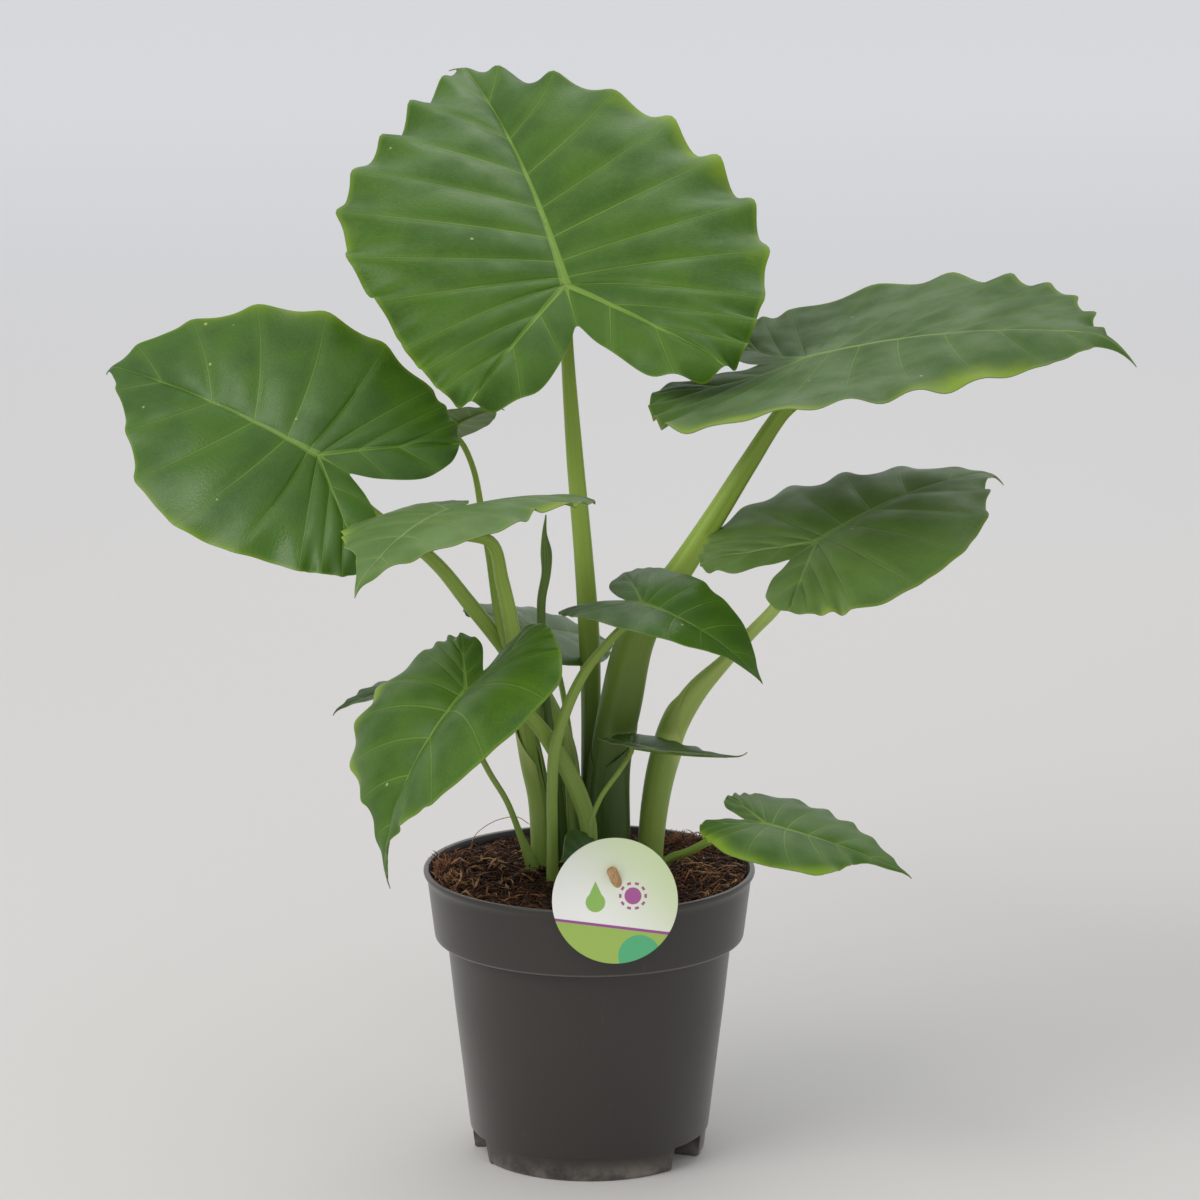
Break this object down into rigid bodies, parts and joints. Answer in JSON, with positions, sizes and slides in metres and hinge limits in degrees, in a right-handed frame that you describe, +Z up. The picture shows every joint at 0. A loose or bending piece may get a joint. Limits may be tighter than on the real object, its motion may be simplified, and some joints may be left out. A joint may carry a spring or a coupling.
{
  "type": "potted alocasia gageana",
  "caption": "Potted aroid house plant with large arrow-heart leaves on long stalks, rooted in coir substrate in a round plastic nursery pot with a hanging plant label.",
  "frame": {"origin": "centre of the flat disc in the pot's underside, which the pot stands on", "axes": "+Z up through the pot's axis; -Y towards the plant's front, where the label hangs; +X to the right seen from the front"},
  "size_m": [0.6401, 0.4628, 0.6642],
  "materials": {
    "pot": "satin dark grey-brown moulded plastic, dusty at the foot",
    "substrate": "coarse coir and peat fibres, matt",
    "blade": "semi-gloss green leaf blade with paler veins and margin",
    "stalk": "smooth yellow-green leaf stalk, darker at the base",
    "sheath": "pale green papery sheath",
    "label": "printed plastic card",
    "peg": "bare light wood"
  },
  "bodies": {
    "root": {"pot": "pot", "substrate": "substrate", "blade_top": "blade", "blade_right_high": "blade", "blade_left_high": "blade", "blade_left_mid": "blade", "blade_back_small": "blade", "blade_left_low": "blade", "blade_left_small": "blade", "blade_centre": "blade", "blade_right_mid": "blade", "blade_right_narrow": "blade", "blade_right_low": "blade", "blade_back_low": "blade", "blade_young": "blade", "stalk_top": "stalk", "stalk_right_high": "stalk", "stalk_left_high": "stalk", "stalk_left_mid": "stalk", "stalk_back_small": "stalk", "stalk_left_low": "stalk", "stalk_left_small": "stalk", "stalk_centre": "stalk", "stalk_right_mid": "stalk", "stalk_right_narrow": "stalk", "stalk_right_low": "stalk", "stalk_back_low": "stalk", "stalk_young": "stalk", "new_leaf": "stalk", "sheath_leaf": "sheath", "label": "label", "label_peg": "peg"}
  },
  "joints": []
}
